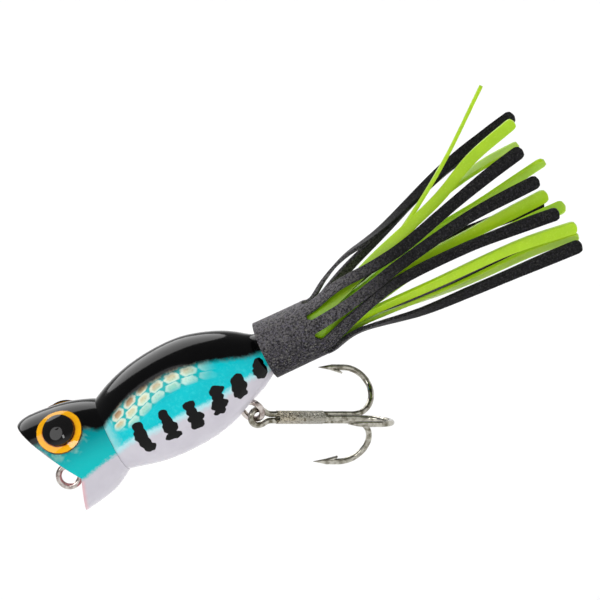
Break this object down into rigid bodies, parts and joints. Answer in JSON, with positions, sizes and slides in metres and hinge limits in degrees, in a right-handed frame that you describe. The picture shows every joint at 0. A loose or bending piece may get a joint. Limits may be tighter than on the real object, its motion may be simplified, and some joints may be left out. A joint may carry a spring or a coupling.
{
  "type": "topwater popper fishing lure",
  "caption": "Topwater popper lure: hollow body with a scooped mouth, domed eyes, screw eyes, a free-hanging treble hook and a two-layer strand skirt.",
  "frame": {"origin": "centre of the line-tie ring, in the middle plane", "axes": "+X from the mouth towards the tail along the body, +Z towards the back, +Y towards the lure's own right side"},
  "size_m": [0.0759, 0.0189, 0.0374],
  "materials": {
    "painted_plastic": "glossy clear-coated paint: black back, teal flank, white belly",
    "eye_plastic": "glossy orange-yellow ring round a black domed pupil",
    "nickel_wire": "bright nickel plate",
    "hook_steel": "bright nickel plate on spring steel",
    "braze": "rough plated braze",
    "black_rubber": "soft black rubber with a fine pale fleck",
    "chartreuse_rubber": "soft chartreuse rubber"
  },
  "bodies": {
    "lure_body": {"left_body_shell": "painted_plastic", "right_body_shell": "painted_plastic", "left_eye": "eye_plastic", "right_eye": "eye_plastic", "line_tie_screw_eye": "nickel_wire", "hook_screw_eye": "nickel_wire", "outer_skirt": "black_rubber", "inner_skirt": "chartreuse_rubber"},
    "treble_hook": {"double_hook": "hook_steel", "third_hook": "hook_steel", "hook_braze": "braze"}
  },
  "joints": [
    {"name": "hook_swing", "type": "hinge", "parent": "lure_body", "child": "treble_hook", "pos_m": [0.0251, 0, -0.00232], "axis": [0.4763, 0.848, 0.2323], "range_deg": [-24, 60]}
  ]
}
